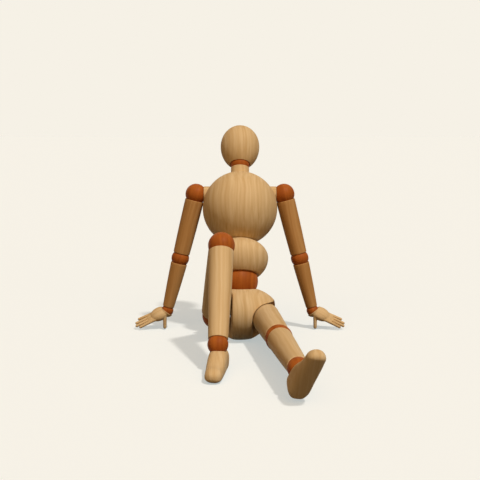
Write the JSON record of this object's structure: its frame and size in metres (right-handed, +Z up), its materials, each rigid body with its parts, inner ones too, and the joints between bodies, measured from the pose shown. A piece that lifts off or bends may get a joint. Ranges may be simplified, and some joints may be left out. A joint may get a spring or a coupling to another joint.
{
  "type": "artist mannequin",
  "caption": "Wooden artist mannequin of turned beech with reddish stained ball joints, seated with one knee raised and leaning back on its hands; every joint can be posed.",
  "frame": {"origin": "on the flat under the pelvis that the figure sits on, midway between its hips", "axes": "+Z up; the figure faces -Y and its own left side is on +X"},
  "size_m": [0.1584, 0.2432, 0.1529],
  "materials": {
    "beech": "satin varnish",
    "stained_beech": "stained, satin varnish",
    "spring_steel": "drawn wire"
  },
  "bodies": {
    "pelvis": {"pelvis": "beech", "hip_rod": "spring_steel", "waist_link": "spring_steel"},
    "waist_ball": {"waist_ball": "stained_beech"},
    "abdomen": {"abdomen": "beech", "waist_swivel": "spring_steel", "chest_link": "spring_steel"},
    "chest": {"chest": "beech", "neck_post": "beech", "shoulder_dowel": "beech", "shoulder_rod": "spring_steel", "neck_swivel": "spring_steel"},
    "neck_ball": {"neck_ball": "stained_beech"},
    "head": {"head": "beech", "head_link": "spring_steel"},
    "shoulder_ball_r": {"shoulder_ball_r": "stained_beech"},
    "upper_arm_r": {"upper_arm_r": "beech", "upper_arm_spring_r": "spring_steel"},
    "elbow_ball_r": {"elbow_ball_r": "stained_beech", "elbow_pin_r": "spring_steel"},
    "forearm_r": {"forearm_r": "beech", "forearm_spring_r": "spring_steel"},
    "wrist_ball_r": {"wrist_ball_r": "stained_beech"},
    "hand_r": {"hand_r": "beech", "hand_link_r": "spring_steel"},
    "hip_ball_r": {"hip_ball_r": "stained_beech"},
    "thigh_r": {"thigh_r": "beech", "thigh_spring_r": "spring_steel"},
    "knee_ball_r": {"knee_ball_r": "stained_beech", "knee_pin_r": "spring_steel"},
    "shin_r": {"shin_r": "beech", "shin_spring_r": "spring_steel"},
    "ankle_ball_r": {"ankle_ball_r": "stained_beech"},
    "foot_r": {"foot_r": "beech", "foot_link_r": "spring_steel"},
    "shoulder_ball_l": {"shoulder_ball_l": "stained_beech"},
    "upper_arm_l": {"upper_arm_l": "beech", "upper_arm_spring_l": "spring_steel"},
    "elbow_ball_l": {"elbow_ball_l": "stained_beech", "elbow_pin_l": "spring_steel"},
    "forearm_l": {"forearm_l": "beech", "forearm_spring_l": "spring_steel"},
    "wrist_ball_l": {"wrist_ball_l": "stained_beech"},
    "hand_l": {"hand_l": "beech", "hand_link_l": "spring_steel"},
    "hip_ball_l": {"hip_ball_l": "stained_beech"},
    "thigh_l": {"thigh_l": "beech", "thigh_spring_l": "spring_steel"},
    "knee_ball_l": {"knee_ball_l": "stained_beech", "knee_pin_l": "spring_steel"},
    "shin_l": {"shin_l": "beech", "shin_spring_l": "spring_steel"},
    "ankle_ball_l": {"ankle_ball_l": "stained_beech"},
    "foot_l": {"foot_l": "beech", "foot_link_l": "spring_steel"}
  },
  "joints": [
    {"name": "waist_lean", "type": "hinge", "parent": "pelvis", "child": "waist_ball", "pos_m": [0, 0.00608, 0.04099], "axis": [1, 0, 0], "range_deg": [-12, 26]},
    {"name": "waist_turn", "type": "hinge", "parent": "waist_ball", "child": "abdomen", "pos_m": [0, 0.00608, 0.04099], "axis": [0, 0.4344, 0.9007], "range_deg": [-40, 40]},
    {"name": "chest_tilt", "type": "hinge", "parent": "abdomen", "child": "chest", "pos_m": [0, 0.03034, 0.09129], "axis": [0, 0.9007, -0.4344], "range_deg": [-8, 8]},
    {"name": "neck_turn", "type": "hinge", "parent": "chest", "child": "neck_ball", "pos_m": [0, 0.04644, 0.12372], "axis": [0, 0.4446, 0.8957], "range_deg": [-70, 70]},
    {"name": "head_nod", "type": "hinge", "parent": "neck_ball", "child": "head", "pos_m": [0, 0.04644, 0.12372], "axis": [1, 0, 0], "range_deg": [-14, 26]},
    {"name": "shoulder_swing_r", "type": "hinge", "parent": "chest", "child": "shoulder_ball_r", "pos_m": [-0.0328, 0.03543, 0.10155], "axis": [1, 0, 0], "range_deg": [-150, 30]},
    {"name": "shoulder_lift_r", "type": "hinge", "parent": "shoulder_ball_r", "child": "upper_arm_r", "pos_m": [-0.0328, 0.03543, 0.10155], "axis": [0, 0.9998, -0.0175], "range_deg": [-1.6, 47.9]},
    {"name": "elbow_upper_r", "type": "hinge", "parent": "upper_arm_r", "child": "elbow_ball_r", "pos_m": [-0.04488, 0.03459, 0.05345], "axis": [0.9699, -0.0043, -0.2436], "range_deg": [-20, 20]},
    {"name": "elbow_lower_r", "type": "hinge", "parent": "elbow_ball_r", "child": "forearm_r", "pos_m": [-0.04488, 0.03459, 0.05345], "axis": [0.9699, -0.0043, -0.2436], "range_deg": [-20, 20]},
    {"name": "wrist_turn_r", "type": "hinge", "parent": "forearm_r", "child": "wrist_ball_r", "pos_m": [-0.05485, 0.0339, 0.01379], "axis": [-0.2436, -0.0169, -0.9697], "range_deg": [-90, 90]},
    {"name": "wrist_bend_r", "type": "hinge", "parent": "wrist_ball_r", "child": "hand_r", "pos_m": [-0.05485, 0.0339, 0.01379], "axis": [-0.1392, 0.9901, 0.0177], "range_deg": [-50, 3]},
    {"name": "hip_swing_r", "type": "hinge", "parent": "pelvis", "child": "hip_ball_r", "pos_m": [-0.01735, -0.002, 0.0173], "axis": [1, 0, 0], "range_deg": [0, 127.8]},
    {"name": "hip_spread_r", "type": "hinge", "parent": "hip_ball_r", "child": "thigh_r", "pos_m": [-0.01735, -0.002, 0.0173], "axis": [0, -0.8073, -0.5902], "range_deg": [0, 36.2]},
    {"name": "knee_upper_r", "type": "hinge", "parent": "thigh_r", "child": "knee_ball_r", "pos_m": [-0.01224, -0.04273, 0.07301], "axis": [0.9973, 0.0436, -0.0596], "range_deg": [-53.1, 1]},
    {"name": "knee_lower_r", "type": "hinge", "parent": "knee_ball_r", "child": "shin_r", "pos_m": [-0.01224, -0.04273, 0.07301], "axis": [0.9973, 0.0436, -0.0596], "range_deg": [-53.1, 1]},
    {"name": "ankle_turn_r", "type": "hinge", "parent": "shin_r", "child": "ankle_ball_r", "pos_m": [-0.01371, -0.08612, 0.01671], "axis": [-0.0207, -0.6103, -0.7919], "range_deg": [-40, 40]},
    {"name": "ankle_bend_r", "type": "hinge", "parent": "ankle_ball_r", "child": "foot_r", "pos_m": [-0.01371, -0.08612, 0.01671], "axis": [0.9973, 0.0436, -0.0596], "range_deg": [-44.4, 2.6]},
    {"name": "shoulder_swing_l", "type": "hinge", "parent": "chest", "child": "shoulder_ball_l", "pos_m": [0.0328, 0.03543, 0.10155], "axis": [1, 0, 0], "range_deg": [-150, 30]},
    {"name": "shoulder_lift_l", "type": "hinge", "parent": "shoulder_ball_l", "child": "upper_arm_l", "pos_m": [0.0328, 0.03543, 0.10155], "axis": [0, -0.9998, 0.0175], "range_deg": [-1.6, 47.9]},
    {"name": "elbow_upper_l", "type": "hinge", "parent": "upper_arm_l", "child": "elbow_ball_l", "pos_m": [0.04488, 0.03459, 0.05345], "axis": [0.9699, 0.0043, 0.2436], "range_deg": [-20, 20]},
    {"name": "elbow_lower_l", "type": "hinge", "parent": "elbow_ball_l", "child": "forearm_l", "pos_m": [0.04488, 0.03459, 0.05345], "axis": [0.9699, 0.0043, 0.2436], "range_deg": [-20, 20]},
    {"name": "wrist_turn_l", "type": "hinge", "parent": "forearm_l", "child": "wrist_ball_l", "pos_m": [0.05485, 0.0339, 0.01379], "axis": [0.2436, -0.0169, -0.9697], "range_deg": [-90, 90]},
    {"name": "wrist_bend_l", "type": "hinge", "parent": "wrist_ball_l", "child": "hand_l", "pos_m": [0.05485, 0.0339, 0.01379], "axis": [-0.1392, -0.9901, -0.0177], "range_deg": [-50, 3]},
    {"name": "hip_swing_l", "type": "hinge", "parent": "pelvis", "child": "hip_ball_l", "pos_m": [0.01735, -0.002, 0.0173], "axis": [1, 0, 0], "range_deg": [0, 73.7]},
    {"name": "hip_spread_l", "type": "hinge", "parent": "hip_ball_l", "child": "thigh_l", "pos_m": [0.01735, -0.002, 0.0173], "axis": [0, 0.005, -1], "range_deg": [-25.7, 0]},
    {"name": "knee_upper_l", "type": "hinge", "parent": "thigh_l", "child": "knee_ball_l", "pos_m": [0.02494, -0.07078, 0.01695], "axis": [0.994, 0.1097, 0.0005], "range_deg": [0, 54.1]},
    {"name": "knee_lower_l", "type": "hinge", "parent": "knee_ball_l", "child": "shin_l", "pos_m": [0.02494, -0.07078, 0.01695], "axis": [0.994, 0.1097, 0.0005], "range_deg": [0, 54.1]},
    {"name": "ankle_turn_l", "type": "hinge", "parent": "shin_l", "child": "ankle_ball_l", "pos_m": [0.03275, -0.14145, 0.0166], "axis": [0.1097, -0.9939, -0.005], "range_deg": [-40, 40]},
    {"name": "ankle_bend_l", "type": "hinge", "parent": "ankle_ball_l", "child": "foot_l", "pos_m": [0.03275, -0.14145, 0.0166], "axis": [0.994, 0.1097, 0.0005], "range_deg": [-44.4, 2.6]}
  ]
}
